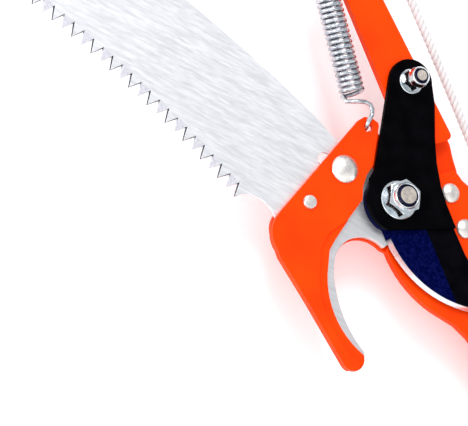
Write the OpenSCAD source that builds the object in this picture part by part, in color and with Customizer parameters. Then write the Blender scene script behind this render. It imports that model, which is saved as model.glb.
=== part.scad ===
/* [Head frame] */
// Distance from the pole axis to the cutter's pivot bolt
pivot_off = 26.5; // [25:0.5:28]
// Thickness of the steel back plate
back_t = 2; // [1.6:0.1:2.4]
// Thickness of the cheek plate riveted on the back plate
cheek_t = 1.5; // [1.2:0.1:1.8]
// Thickness of the counter-blade in the hook
anvil_t = 3; // [2.6:0.1:3.2]
// Sheet thickness of the pressed hook cover
cover_t = 2; // [1.6:0.1:2.2]
// Radius of the throat at the root of the hook
throat_r = 13.1; // [12.5:0.1:13.5]
// Radius of the hook's long inner edge
hook_r = 50; // [49:0.5:51]

/* [Saw] */
// Thickness of the saw
saw_t = 1.4; // [1.2:0.1:1.5]
// Distance from one tooth to the next
tooth_pitch = 5.05; // [4.8:0.05:5.2]
// Depth of a tooth
tooth_depth = 4.9; // [4.2:0.1:5.2]
// Number of teeth
tooth_count = 64; // [50:1:66]
// Radius of the line through the tooth tips
saw_r = 565; // [540:5:600]

/* [Cutter] */
// Thickness of the cutter blade
blade_t = 2.45; // [2:0.05:2.45]
// Thickness of the black lever plate
lever_t = 2.4; // [2:0.1:2.6]
// Radius of the blade's cutting edge
edge_r = 46.9; // [46.5:0.1:47.2]
// Sheet thickness of the orange arm
arm_t = 1.5; // [1.2:0.1:1.5]
// Distance from the pivot to the pulley at the arm's end
arm_reach = 150; // [145:1:155]
// Radius of the rope's path round the pulley
pulley_r = 12.5; // [12:0.1:13]

/* [Pole] */
// Outer radius of the inner tube, which holds the head
inner_r = 12.5; // [12.4:0.1:12.6]
// Outer radius of the middle tube
mid_r = 14.3; // [14.2:0.1:14.4]
// Outer radius of the outer tube
outer_r = 16.3; // [16.2:0.1:16.5]
// Wall of each tube
wall = 1; // [0.9:0.1:1.1]
// Radius of the rubber grips, on which the pole lies
grip_r = 19; // [19:0.5:20]
// Where the outer tube ends behind
pole_end = 1180; // [1150:10:1200]

/* [Rope] */
// Diameter of the pull rope
rope_d = 4; // [3.8:0.1:4]

/* [Hidden] */

orange = "orangered";
steel = "silver";
black = [0.05, 0.05, 0.06];
alloy = [0.75, 0.76, 0.78];
rubber = [0.13, 0.13, 0.14];
round_fn = 48;
play = 0.05;             // running clearance of a turning or sliding fit
rest_z = -grip_r;        // the plane that the tool lies on

// The head is drawn with the pivot at its origin and the shear plane at z = 0.
shear_z = (back_t + anvil_t) / 2;
back_z = -anvil_t - back_t;
cheek_z = -anvil_t;
cheek_top = cheek_z + cheek_t;
cover_z = saw_t;
cover_top = cover_z + cover_t;
blade_z = play;
lever_z = blade_z + blade_t;
lever_top = lever_z + lever_t;
arm_z = lever_z - arm_t;
floor_z = rest_z - shear_z;
pole_y = pivot_off;

// Fixed places on the head
saw_bolt_at = [-19.6, -16.3];
saw_pin_at = [-12.1, -36.7];
spare_hole_at = [-26.1, -22];
ear_at = [-32, 1.2];
arm_bolt_at = [-43.4, 26.6];
rivet_x = [4.5, 20.3];
rivet_y = 27.5;
rivet_r = 4.1;
anchor_at = [-8, 27.5];
pulley_at = [-arm_reach, 32.5];
pulley_z = -3.3;
tail_x = 78;             // end of the frame plates inside the socket sleeve
sleeve_x = [66, 125];
sleeve_r = 14.2;

// Pole stations along X
mid_x = 172;
outer_x = 227;
inner_end = 1120;
mid_end = 1150;
collar_len = 40;
hang_x = pole_end + 20;

function arc(c, r, a0, a1, n = 12) =
    [for (i = [0:n]) c + r * [cos(a0 + (a1 - a0) * i / n), sin(a0 + (a1 - a0) * i / n)]];

function reversed(p) = [for (i = [len(p) - 1:-1:0]) p[i]];

// X is drawn from the pivot's station along the pole; the origin is the end cap's hanging hole.
module on_pole() translate([-hang_x, 0, 0]) children();
module head() on_pole() translate([0, -pivot_off, shear_z]) children();
module plate(z, t, outline) translate([0, 0, z]) linear_extrude(t) polygon(outline);
module at(p, z) translate([p[0], p[1], z]) children();
module hole(p, r) at(p, -40) cylinder(r = r, h = 80, $fn = round_fn);
module disc(r, h) cylinder(r = r, h = h, $fn = round_fn);
module hex(flats, h) cylinder(d = flats / cos(30), h = h, $fn = 6);
module dome(r, h) {
    ball = (r * r + h * h) / (2 * h);
    top = asin(r / ball);
    rotate_extrude($fn = round_fn)
        polygon(concat([[0, 0]], arc([0, h - ball], ball, 90 - top, 90, 8)));
}
module ring(r_out, r_in, h) difference() {
    disc(r_out, h);
    translate([0, 0, -1]) disc(r_in, h + 2);
}
// A tube along +X from x0 to x1 on the pole axis
module tube_x(x0, x1, r_out, r_in) translate([x0, 0, 0]) rotate([0, 90, 0])
    ring(r_out, r_in, x1 - x0);

// ---- Head frame ----
throat_c = [20.4, -23.5];
hook_c = [36, 9.7];
// The hook's inner edge, from the strip round the throat to the hook's tip
function throat(grow) = concat(arc(throat_c, throat_r - grow, 112, 246, 16),
    arc(hook_c, hook_r - grow, 248, 288, 14));
strip_c = [18.3, 37.4];
function strip_edge() = concat(arc(strip_c, 47.5, 269, 311, 10),
    [[55, 6.2], [62, 9.6], [70, 11.7], [tail_x, pole_y - sleeve_r]]);
socket_top = [[tail_x, pole_y + sleeve_r], [34, pole_y + sleeve_r], [14, 39.4],
    [4.2, 36.7], [1.6, 35.2], [-1, 34.5]];

module back_plate() color(orange) head() difference() {
    plate(back_z, back_t, concat([[-31, 1.5], [-31.5, -6.5], [-10.5, -47.5]],
        arc([-4.6, -45.5], 9.4, 200, 283, 6), [[48.5, -46.2]],
        arc([51, -43], 3.6, 300, 400, 5), reversed(throat(0.6)), strip_edge(), socket_top,
        [[-3, 35.1], [-9, 35.8], [-14.2, 36.9], [-19, 36.6], [-21, 30], [-16, 12],
         [-24, 9.5], [-28.5, 8], [-31.2, 7.4]]));
    hole([0, 0], 4.05);
    hole(saw_bolt_at, 3.1);
    hole(saw_pin_at, 2);
    for (x = rivet_x) hole([x, rivet_y], 2);
}

module cheek_plate() color(orange) head() difference() {
    plate(cheek_z, cheek_t, concat([[17, -10.2]], [for (p = strip_edge()) if (p[0] > 18) p],
        socket_top, [[-4, 33.6], [-4.6, 22]], arc([0, 0], 14, 106, -24, 12)));
    for (x = rivet_x) hole([x, rivet_y], 2);
}

module counter_blade() color(steel) head() difference() {
    plate(-anvil_t, anvil_t, concat(throat(0), arc([51.3, -42], 4.2, 66, -60, 6),
        [[20, -51.5], [0, -54.4], [-8.5, -50], [-30.5, -5], [-24, -2]],
        arc([0, 0], 13.4, 190, -14, 16)));
    hole([0, 0], 4.05);
    hole(saw_bolt_at, 3.1);
    hole(saw_pin_at, 2);
}

cover_in_c = [33.9, -8.6];
cover_corner = [-1.5, -46.2];
cover_tip = [52.3, -45];
tip_r = 5.2;
// Inner edge of the hook cover, from the hook's tip back to the pivot
function cover_inner(grow) = concat(arc(cover_in_c, 36.4 + grow, 301, 238, 12),
    [[8.6 - 0.4 * grow, -36 - grow], [5.4 - 0.8 * grow, -31.6 - grow * 0.6],
     [0, -22.9 - grow * 0.2]]);
function cover_outer() = concat(arc(cover_tip, tip_r, -2, -78, 6), [[24.8, -54.4], [4, -58.2]],
    arc(cover_corner, 12, 282, 207, 8), [[-36.2, -1.6], [-36.6, 1.4], [-35.2, 4.3],
    [-32.4, 6.2], [-31, 5.9]]);
cover_boss = [[-16.9, -3.5], [-14.4, -7.7], [-10.2, -11.6], [-5.6, -14]];

module hook_cover() color(orange) head() difference() {
    union() {
        plate(cover_z, cover_t, concat(cover_outer(), cover_boss,
            reversed(cover_inner(4))));
        // the pressed strip along the inner edge, one millimetre lower
        plate(cover_z - 1.1, cover_t, concat(cover_inner(0),
            reversed(cover_inner(4.4)), arc(cover_tip, tip_r, 0, 84, 6)));
        // the turned-down rim along the hook's outer edge
        plate(play, cover_top - play, concat([cover_tip],
            arc(cover_tip, tip_r, -40, -78, 4), [[24.8, -54.4], [4, -58.2]],
            arc(cover_corner, 12, 282, 250, 4), arc(cover_corner, 10.2, 250, 282, 4),
            [[4.4, -56.4], [25.1, -52.6], [50.5, -48]]));
    }
    hole(saw_bolt_at, 3.1);
    hole(saw_pin_at, 2);
    hole(ear_at, 1.9);
}

module frame_rivets() color(steel) head() for (x = rivet_x) at([x, rivet_y], 0) {
    translate([0, 0, cheek_top]) dome(rivet_r, 2.1);
    translate([0, 0, back_z]) disc(2, back_t + cheek_t);
    translate([0, 0, back_z - 1]) disc(rivet_r, 1);
}

module socket_sleeve() color(orange) on_pole() difference() {
    tube_x(sleeve_x[0], sleeve_x[1], sleeve_r, inner_r + play);
    translate([0, -20, back_z + shear_z]) cube([tail_x, 40, back_t + cheek_t]);
    for (x = screw_x) translate([x, 0, 0]) disc(1.8, 30);
}
screw_x = [96, 113];
module socket_screws() color(steel) on_pole() for (x = screw_x) translate([x, 0, 0]) {
    translate([0, 0, inner_r - 3]) disc(1.8, sleeve_r - inner_r + 3.2);
    translate([0, 0, sleeve_r]) dome(3.6, 2.2);
}

// ---- Saw ----
saw_c = [180.2, -592.1];
saw_a0 = 111.3;          // polar angle of the last tooth, seen from the arc's centre
function saw_angle(s) = saw_a0 + s / saw_r * 180 / PI;
function saw_width(s) = 51 - 0.085 * s + 0.00007 * s * s;
function on_saw(s, in) = saw_c + (saw_r + in) * [cos(saw_angle(s)), sin(saw_angle(s))];
saw_len = tooth_pitch * tooth_count;
heel_c = [-12.2, -65.3];

module saw_blade() color(steel) head() difference() {
    plate(play, saw_t - 2 * play, concat(
        [for (i = [0:tooth_count]) each [on_saw(i * tooth_pitch, 0),
            on_saw((i + 0.5) * tooth_pitch, tooth_depth)]],
        [on_saw(saw_len + 9, 12), on_saw(saw_len + 2, 26)],
        [for (i = [16:-1:0]) on_saw(saw_len * i / 16, saw_width(saw_len * i / 16))],
        [[-29, -12.5], [-25.5, -7.6], [-19, -7], [-11.5, -13.5], [-3, -29], [-4, -50]],
        arc(heel_c, 12.9, 86, 174, 8)));
    hole(saw_bolt_at, 3.1);
    hole(saw_pin_at, 2);
    hole(spare_hole_at, 3.05);
}

module saw_bolt() color(steel) head() at(saw_bolt_at, 0) {
    translate([0, 0, cover_top]) dome(5.75, 3);
    translate([0, 0, -19.5]) disc(3, 19.5 + cover_top);
}
module saw_washer() color(steel) head() at(saw_bolt_at, back_z - 1.2) ring(7, 3.05, 1.2);
nut_z = back_z - 1.2 - play;
module wing_nut() color(steel) head() at(saw_bolt_at, 0) difference() {
    union() {
        translate([0, 0, nut_z - 7]) disc(5.4, 7);
        for (a = [35, 215]) rotate([0, 0, a]) rotate([90, 0, 0]) translate([0, 0, -1.2])
            linear_extrude(2.4) polygon(concat([[3.6, nut_z - 2], [3.6, nut_z - 6.8]],
                arc([10.5, floor_z + 5], 5, 230, 360, 8), [[14.6, nut_z - 6], [9, nut_z - 2]]));
    }
    translate([0, 0, nut_z - 30]) disc(3 + play, 40);
}
module saw_pin() color(steel) head() at(saw_pin_at, 0) {
    translate([0, 0, cover_top]) dome(2.9, 1.4);
    translate([0, 0, back_z - 1]) disc(2, cover_top - back_z + 1);
    translate([0, 0, back_z - 1.4]) disc(2.9, 1.4);
}

// ---- Pivot ----
module pivot_bolt() color(steel) head() {
    translate([0, 0, back_z - 5.3]) hex(13, 5.3);
    translate([0, 0, back_z]) disc(4, 19.6);
    translate([0, 0, back_z + 19.6]) cylinder(r1 = 4, r2 = 3.4, h = 0.6, $fn = round_fn);
}
bush_top = lever_top + play;
module pivot_bush() color(steel) head() ring(6, 4.02, bush_top);
module pivot_washer() color(steel) head() translate([0, 0, bush_top]) ring(8, 4.2, 1.6);
module pivot_nut() color(steel) head() translate([0, 0, bush_top + 1.6]) difference() {
    union() {
        hex(13, 5.6);
        disc(6.2, 5.9);
        translate([0, 0, 5.6]) disc(5.5, 2.2);
    }
    translate([0, 0, -1]) disc(4.02, 12);
}

// ---- Cutter ----
edge_c = [12, 37.3];
blade_bore = 6 + play;
module cutter_blade() color(black) head() difference() {
    plate(blade_z, blade_t, concat([[9, -9.6]], arc(edge_c, edge_r, 268, 347.5, 18),
        [[57.6, 28.2], [52.5, 26.2], [42, 22.6], [30, 20.6], [10, 20.3], [-4, 20.4]],
        arc([0, 0], 13.2, 170, 313, 14)));
    hole([0, 0], blade_bore);
    // the ground face above the cutting edge
    translate([0, 0, blade_z + 0.35]) linear_extrude(4) polygon(concat(
        arc(edge_c, edge_r + 2, 266, 350, 16), arc(edge_c, edge_r - 1.1, 350, 266, 16)));
}

lever_r = 9.6;
lever_end = arm_bolt_at + [0, 0.4];
module lever_plate() color(black) head() difference() {
    plate(lever_z, lever_t, concat(arc(lever_end, lever_r, 236, 62, 12),
        [[-31, 33.1], [-18.5, 27.3], [-8.8, 23.6], [1.3, 21.1], [9, 20.4], [19, 20.3], [15, 7.6],
         [9.6, -9]], arc([0, 0], 13.2, 316, 222, 10), [[-12.6, -7.4], [-15.2, -3.6]]));
    hole([0, 0], blade_bore);
    hole(arm_bolt_at, 2.55);
}

flange_z = arm_z - 1.9;
arm_low = 15.2;          // the arm's straight lower edge
function arm_high(x) = 37.7 + 0.085 * x;
spring_eye = [-122, 19];
module lever_arm() color(orange) head() {
    difference() {
        plate(arm_z, arm_t, concat([[-40, arm_low], [-24, 12], [-16.8, 17], [-16, 31.5]],
            arc([-18, arm_high(-18) - 2], 2, 0, 95, 4), [[-130, arm_high(-130)]],
            arc(pulley_at, 7.5, 50, 250, 10), [[-140, arm_low]]));
        hole(arm_bolt_at, 2.55);
        hole(pulley_at, 2.5);
        hole(spring_eye, 1.6);
    }
    plate(flange_z, arm_z - flange_z, [[-134, arm_low], [-40, arm_low], [-40, arm_low + arm_t],
        [-134, arm_low + arm_t]]);
    plate(flange_z, arm_z - flange_z, [[-124, arm_high(-124)], [-24, arm_high(-24)],
        [-24, arm_high(-24) - arm_t], [-124, arm_high(-124) - arm_t]]);
}
arm_bolt_top = 15.4;
module arm_bolt() color(steel) head() at(arm_bolt_at, 0) {
    translate([0, 0, arm_z - 3]) hex(8, 3);
    translate([0, 0, arm_z]) disc(2.5, arm_bolt_top - arm_z);
    translate([0, 0, arm_bolt_top]) cylinder(r1 = 2.5, r2 = 2, h = 0.5, $fn = round_fn);
}
module arm_washer() color(steel) head() at(arm_bolt_at, lever_top) ring(5.2, 2.6, 1);
module arm_spring_washer() color(steel) head() at(arm_bolt_at, lever_top + 1)
    ring(4.6, 2.6, 1.3);
module arm_nut() color(steel) head() at(arm_bolt_at, lever_top + 2.3) difference() {
    union() {
        hex(8, 5);
        translate([0, 0, 5]) disc(4, 3);
    }
    translate([0, 0, -1]) disc(2.52, 12);
}

// ---- Return spring: a plain sleeve of the coil's outer size, hooked in the cover's ear, and
// its long upper hook, which draws away from the sleeve as the spring stretches ----
spring_a = [-45.9, 0.6];
spring_b = [-99, 8.9];
spring_z = (cover_z + cover_top) / 2;
wire_r = 0.95;
lower_hook = [[-46.4, 2.4, spring_z + 4.4], [-44.6, 3.2, spring_z + 3.8],
    [-42.6, 4.4, spring_z + 3.3], [-40.4, 4.9, spring_z + 3.1], [-38, 4.7, spring_z + 3.2],
    [-36, 3.5, spring_z + 3.3], [-34.4, 1.4, spring_z + 3.2]];
upper_hook = [[-99.6, 9, spring_z - 4.6], [-103, 9.6, spring_z - 2], [-107, 11.4, spring_z + 2],
    [-113, 14.4, spring_z + 3], [-118.4, 17.2, spring_z + 3], [-121, 18.4, spring_z + 2.4]];
module return_spring() color(steel) head() {
    along = spring_b - spring_a;
    translate([spring_a[0], spring_a[1], spring_z]) rotate([0, 0, atan2(along[1], along[0])])
        rotate([0, 90, 0]) ring(5.5, 3.6, norm(along));
    sweep_tube(lower_hook, wire_r);
}
module spring_hook() color(steel) head() sweep_tube(upper_hook, wire_r);

// ---- Rope gear ----
module pulley_pin() color(steel) head() at(pulley_at, 0) {
    translate([0, 0, lever_z]) dome(4.4, 1.8);
    translate([0, 0, pulley_z - 4.4]) disc(2.5, lever_z - pulley_z + 4.4);
    translate([0, 0, pulley_z - 5.4]) disc(4, 1);
}
module rope_pulley() color(rubber) head() at(pulley_at, pulley_z) difference() {
    rotate_extrude($fn = 64) polygon([[0, -3.5], [14.5, -3.5], [14.5, -2.9], [11, -2.1],
        [10.3, -1], [10.3, 1], [11, 2.1], [14.5, 2.9], [14.5, 3.5], [0, 3.5]]);
    translate([0, 0, -9]) disc(2.5 + play, 20);
}
eye_z = back_z - 2.3;
module rope_anchor() color(steel) head() at(anchor_at, 0) {
    translate([0, 0, back_z - 5]) disc(1.9, 5);
    translate([0, 0, back_z - 6]) disc(4.2, 1);
}
module rope_eye() color("whitesmoke") head() at(anchor_at, eye_z)
    rotate_extrude($fn = round_fn) translate([4, 0]) circle(r = 2, $fn = 24);

// Route of the rope before the hank, as seen on the head: from the anchor to the pulley, round
// it on the arm, and back past the pivot to the table
rope_in = [[-14, 27.2, -7.3], [-40, 25.8, -7], [-80, 23.6, -6.2], [-110, 21.9, -5],
    [-138.6, 20.5, -3.5]];
rope_round = concat([[-140, 20.4, -3.45]], [for (a = [270:-22.5:90])
    [pulley_at[0] + pulley_r * cos(a), pulley_at[1] + pulley_r * sin(a), pulley_z]],
    [[-131, 45.4, -3.3]]);
rope_out = [[-130, 45.4, -3.3], [-100, 46.3, -3.9], [-74, 47.4, -5], [-48, 48.4, -6.2],
    [-22, 49.2, -7.6], [2, 50, -9.8], [24, 50.6, -13.2], [44, 51, -17], [60, 51.1, -19.4],
    [76, 51.2, -19.5]];
// a smooth line through the route's points, and its rings
function between(p, i, t) = let (a = p[max(i - 1, 0)], b = p[i], c = p[i + 1],
    d = p[min(i + 2, len(p) - 1)])
    0.5 * (2 * b + (c - a) * t + (2 * a - 5 * b + 4 * c - d) * t * t
    + (3 * b - a - 3 * c + d) * t * t * t);
function steps(d) = max(1, round(norm(d) / (2.6 * rope_d)));
function smooth(p) = concat([for (i = [0:len(p) - 2]) for (k = [0:steps(p[i + 1] - p[i]) - 1])
    between(p, i, k / steps(p[i + 1] - p[i]))], [p[len(p) - 1]]);
function unit(v) = v / norm(v);
module sweep_tube(p, r, sides = 8) {
    n = len(p);
    dirs = [for (i = [0:n - 1]) unit(p[min(i + 1, n - 1)] - p[max(i - 1, 0)])];
    pts = [for (i = [0:n - 1]) let (side = unit(cross(dirs[i], [0, 0, 1])),
        up = cross(side, dirs[i])) for (k = [0:sides - 1])
        p[i] + r * (cos(360 * k / sides) * side + sin(360 * k / sides) * up)];
    faces = concat([[for (k = [sides - 1:-1:0]) k]],
        [for (i = [0:n - 2]) for (k = [0:sides - 1]) let (q = (k + 1) % sides)
            [i * sides + k, i * sides + q, (i + 1) * sides + q, (i + 1) * sides + k]],
        [[for (k = [0:sides - 1]) (n - 1) * sides + k]]);
    polyhedron(pts, faces);
}
module rope_standing_part() color("whitesmoke") head() sweep_tube(smooth(rope_in), rope_d / 2);
module rope_bight() color("whitesmoke") head() sweep_tube(smooth(rope_round), rope_d / 2);
module pull_rope() color("whitesmoke") head() sweep_tube(smooth(rope_out), rope_d / 2);

// The hank lies in line with the pole, beside the socket.
hank_at = [120, 69];
hank_straight = 70;
hank_w = 40;
hank_h = 21.5;
module stadium(len, w, h) linear_extrude(h) {
    square([len, w], center = true);
    for (s = [-1, 1]) translate([s * len / 2, 0]) circle(d = w, $fn = round_fn);
}
module rope_hank() color("whitesmoke") head() at(hank_at, floor_z)
    stadium(hank_straight, hank_w, hank_h);
module hank_tie() color(black) head() at(hank_at, floor_z) difference() {
    translate([-5, -hank_w / 2 - 1.4, 0]) cube([10, hank_w + 2.8, hank_h + 1.4]);
    translate([-6, -hank_w / 2, -1]) cube([12, hank_w, hank_h + 1]);
}
tail_path = [for (p = [[175, -2.2], [182, -4], [190, -7.6], [197, -10.2]])
    [p[0], hank_at[1], p[1]]];
module rope_tail() color("whitesmoke") head() sweep_tube(tail_path, rope_d / 2);
handle_r = 11;
handle_len = 58;
handle_x = 197.2;
module rope_handle() color(orange) head()
    translate([handle_x, hank_at[1], floor_z + handle_r]) rotate([0, 90, 0])
    rotate_extrude($fn = round_fn) polygon(concat([[0, 0], [5, 0]],
        arc([0, handle_len - 25], handle_r, -60, 0, 6),
        arc([0, handle_len - handle_r], handle_r, 0, 90, 6)));

// ---- Pole ----
module inner_tube() color(alloy) on_pole() difference() {
    tube_x(tail_x + 2, inner_end - 20, inner_r, inner_r - wall);
    for (x = screw_x) translate([x, 0, 0]) disc(1.8, 30);
}
module inner_bush() color(rubber) on_pole() {
    tube_x(inner_end - 20, inner_end, mid_r - wall - play, inner_r - 3);
    tube_x(inner_end - 32, inner_end - 20, inner_r - wall - play, inner_r - 3);
}
module mid_tube() color(alloy) on_pole() tube_x(mid_x, mid_end - 20, mid_r, mid_r - wall);
module mid_bush() color(rubber) on_pole() {
    tube_x(mid_end - 20, mid_end, outer_r - wall - play, mid_r - 3);
    tube_x(mid_end - 30, mid_end - 20, mid_r - wall - play, mid_r - 3);
}
module outer_tube() color(alloy) on_pole() tube_x(outer_x, pole_end, outer_r, outer_r - wall);

// A flip-lock collar whose front bore slides on the thinner tube
pin_up = 4.6;            // height of the lever's pin over the collar
ear_gap = 5.2;
module collar(x, r, tube_r, slide_r) difference() {
    union() {
        tube_x(x, x + collar_len, r, slide_r + play);
        tube_x(x, x + 3, r + 0.1, r - 1);
        for (s = [-1, 1]) translate([x + 4, s * (ear_gap + 1.5) - 1.5, r - 2]) {
            cube([9, 3, pin_up + 2]);
            translate([4.5, 0, pin_up + 2]) rotate([-90, 0, 0]) disc(4.5, 3);
        }
    }
    translate([x + 12, 0, 0]) rotate([0, 90, 0]) disc(tube_r, collar_len);
    translate([x + 8.5, -20, r + pin_up]) rotate([-90, 0, 0]) disc(1.5, 40);
}
module lock_lever(x, r) translate([x + 8.5, 0, r + pin_up]) difference() {
    rotate([90, 0, 0]) translate([0, 0, -ear_gap + 0.3])
        linear_extrude(2 * ear_gap - 0.6) polygon(concat(arc([0, 0], 3.9, 90, 270, 8),
        [[8, -3.9], [20, -3.4], [31, -2.6], [37, -0.4], [36.5, 1.6], [26, 2.4], [12, 3.9]]));
    translate([0, -20, 0]) rotate([-90, 0, 0]) disc(1.5 + play, 40);
}
module lock_pin(x, r) translate([x + 8.5, -ear_gap - 3.6, r + pin_up]) rotate([-90, 0, 0])
    disc(1.5, 2 * ear_gap + 7.2);
mid_collar_x = mid_x - 12;
outer_collar_x = outer_x - 12;
mid_collar_r = 17.4;
outer_collar_r = 18.8;
module mid_collar() color(black) on_pole() collar(mid_collar_x, mid_collar_r, mid_r, inner_r);
module mid_lock_lever() color(orange) on_pole() lock_lever(mid_collar_x, mid_collar_r);
module mid_lock_pin() color(steel) on_pole() lock_pin(mid_collar_x, mid_collar_r);
module outer_collar() color(black) on_pole() collar(outer_collar_x, outer_collar_r, outer_r, mid_r);
module outer_lock_lever() color(orange) on_pole() lock_lever(outer_collar_x, outer_collar_r);
module outer_lock_pin() color(steel) on_pole() lock_pin(outer_collar_x, outer_collar_r);

module grip(x0, x1) {
    tube_x(x0 + 4, x1 - 4, grip_r, outer_r);
    for (x = [x0, x1 - 4]) tube_x(x, x + 4, grip_r - 1, outer_r);
}
module front_grip() color(rubber) on_pole() grip(300, 430);
module rear_grip() color(rubber) on_pole() grip(1010, pole_end - 12);

module end_cap() color(black) on_pole() difference() {
    union() {
        tube_x(pole_end - 11, pole_end + 2, outer_r + 1.8, outer_r);
        translate([pole_end, 0, 0]) rotate([0, 90, 0]) disc(outer_r + 1.8, 6);
        translate([pole_end + 6, -4, -11]) cube([hang_x - pole_end - 6, 8, 22]);
        translate([hang_x, -4, 0]) rotate([-90, 0, 0]) disc(11, 8);
    }
    translate([hang_x, -10, 0]) rotate([-90, 0, 0]) disc(4, 20);
}

back_plate();
cheek_plate();
counter_blade();
hook_cover();
frame_rivets();
socket_sleeve();
socket_screws();
saw_blade();
saw_bolt();
saw_washer();
saw_pin();
wing_nut();
pivot_bolt();
pivot_bush();
pivot_washer();
pivot_nut();
cutter_blade();
lever_plate();
lever_arm();
arm_bolt();
arm_washer();
arm_spring_washer();
arm_nut();
return_spring();
spring_hook();
pulley_pin();
rope_pulley();
rope_anchor();
rope_eye();
inner_tube();
inner_bush();
mid_tube();
mid_bush();
mid_collar();
mid_lock_lever();
mid_lock_pin();
outer_tube();
outer_collar();
outer_lock_lever();
outer_lock_pin();
front_grip();
rear_grip();
end_cap();
rope_standing_part();
rope_bight();
pull_rope();
rope_hank();
rope_tail();
hank_tie();
rope_handle();
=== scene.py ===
import math

import bmesh
import bpy
from mathutils import Matrix, Vector


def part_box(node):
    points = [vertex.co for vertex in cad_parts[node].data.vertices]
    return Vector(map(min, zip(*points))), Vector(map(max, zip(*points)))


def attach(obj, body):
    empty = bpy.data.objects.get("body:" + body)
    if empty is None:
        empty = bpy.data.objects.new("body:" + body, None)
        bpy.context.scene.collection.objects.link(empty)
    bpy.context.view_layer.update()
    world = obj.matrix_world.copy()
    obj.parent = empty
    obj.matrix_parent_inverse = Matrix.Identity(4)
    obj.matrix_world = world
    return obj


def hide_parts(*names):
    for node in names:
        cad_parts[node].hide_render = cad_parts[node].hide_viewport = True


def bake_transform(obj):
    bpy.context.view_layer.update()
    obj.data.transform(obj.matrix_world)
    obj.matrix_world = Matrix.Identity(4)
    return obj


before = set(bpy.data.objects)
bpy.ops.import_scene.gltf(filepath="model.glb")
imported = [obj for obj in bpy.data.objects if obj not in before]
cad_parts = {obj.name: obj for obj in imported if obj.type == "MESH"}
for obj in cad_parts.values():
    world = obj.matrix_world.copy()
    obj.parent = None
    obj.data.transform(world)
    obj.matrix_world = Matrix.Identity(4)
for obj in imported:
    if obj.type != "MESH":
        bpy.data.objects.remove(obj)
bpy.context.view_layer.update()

# ---- Camera and studio ----
# The tool lies on a white table with its back plate down, seen from above and a little from
# the hook's side. Places on the head are millimetres from the pivot bolt: along the pole,
# across it, and up from the plane where the cutter passes the counter-blade.
MM = 0.001
bush_low, bush_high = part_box("pivot_bush")
pivot = (bush_low + bush_high) / 2
pivot.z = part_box("counter_blade")[1].z
table_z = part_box("front_grip")[0].z


def on_head(x, y, z=0.0):
    """A place on the head, given in millimetres from the pivot bolt."""
    return pivot + Vector((x, y, z)) * MM


def turned_about(axis, degrees):
    """A turn about one axis, in degrees."""
    return Matrix.Rotation(math.radians(degrees), 3, axis)


lean, tilt, heading = 29, 27, -97.5
view = turned_about("Z", lean) @ turned_about("Y", tilt) @ turned_about("Z", heading)
right, up, back = view.row[0], view.row[1], view.row[2]
lens, sensor, field = 300, 36, 0.18947
aim_left, aim_below = 0.0642, 0.00393
aim = pivot - right * aim_left - up * aim_below
camera_data = bpy.data.cameras.new("camera")
camera_data.lens = lens
camera_data.sensor_width = sensor
camera_data.clip_start = 0.1
camera = bpy.data.objects.new("camera", camera_data)
camera.location = aim + back * (field * lens / sensor)
camera.rotation_euler = view.transposed().to_euler()
bpy.context.collection.objects.link(camera)
bpy.context.scene.camera = camera
bpy.context.scene.view_settings.view_transform = "Standard"
bpy.context.scene.view_settings.look = "None"


def softbox(name, across, above, out, size, power):
    """A square soft light, placed from the head as the camera sees it, in metres."""
    data = bpy.data.lights.new(name, "AREA")
    data.size = size
    data.energy = power
    light = bpy.data.objects.new(name, data)
    away = right * across + up * above + back * out
    light.location = pivot + away
    light.rotation_euler = away.to_track_quat("Z", "Y").to_euler()
    bpy.context.collection.objects.link(light)


softbox("key_light", 0.2, 1.2, 1.0, 0.6, 9)
softbox("rim_light", -1.3, -0.1, 0.9, 0.5, 7)

# The tent round the table is bright, dark at its foot, and has a dimmer panel where flat
# plates mirror it.
world = bpy.data.worlds.new("studio")
bpy.context.scene.world = world
world.use_nodes = True
sky = world.node_tree.nodes
sky_link = world.node_tree.links.new
panel = Vector((0, 0, 1))
panel = 2 * panel.dot(back) * panel - back
direction = sky.new("ShaderNodeTexCoord")
towards = sky.new("ShaderNodeVectorMath")
towards.operation = "DOT_PRODUCT"
towards.inputs[1].default_value = panel
tent = sky.new("ShaderNodeValToRGB")
tent.color_ramp.elements[0].position = 0.3
tent.color_ramp.elements[0].color = (1.0, 1.0, 1.0, 1)
tent.color_ramp.elements[1].position = 0.93
tent.color_ramp.elements[1].color = (0.42, 0.43, 0.45, 1)
low_band = sky.new("ShaderNodeMapRange")
low_band.inputs["From Min"].default_value = 0.1
low_band.inputs["From Max"].default_value = 0.4
low_band.inputs["To Min"].default_value = 0.12
height = sky.new("ShaderNodeSeparateXYZ")
strength = sky.new("ShaderNodeMath")
strength.operation = "MULTIPLY"
strength.inputs[1].default_value = 1.6
sky_link(direction.outputs["Generated"], towards.inputs[0])
sky_link(direction.outputs["Generated"], height.inputs["Vector"])
sky_link(height.outputs["Z"], low_band.inputs["Value"])
sky_link(low_band.outputs["Result"], strength.inputs[0])
sky_link(towards.outputs["Value"], tent.inputs["Fac"])
sky_link(tent.outputs["Color"], sky["Background"].inputs["Color"])
sky_link(strength.outputs["Value"], sky["Background"].inputs["Strength"])


def new_group(name, inputs, outputs):
    """A shader group with its sockets, and its input and output nodes."""
    group = bpy.data.node_groups.new(name, "ShaderNodeTree")
    for label, kind, value in inputs:
        socket = group.interface.new_socket(label, in_out="INPUT", socket_type=kind)
        socket.default_value = value
    for label, kind in outputs:
        group.interface.new_socket(label, in_out="OUTPUT", socket_type=kind)
    return group, group.nodes.new("NodeGroupInput"), group.nodes.new("NodeGroupOutput")


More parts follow.
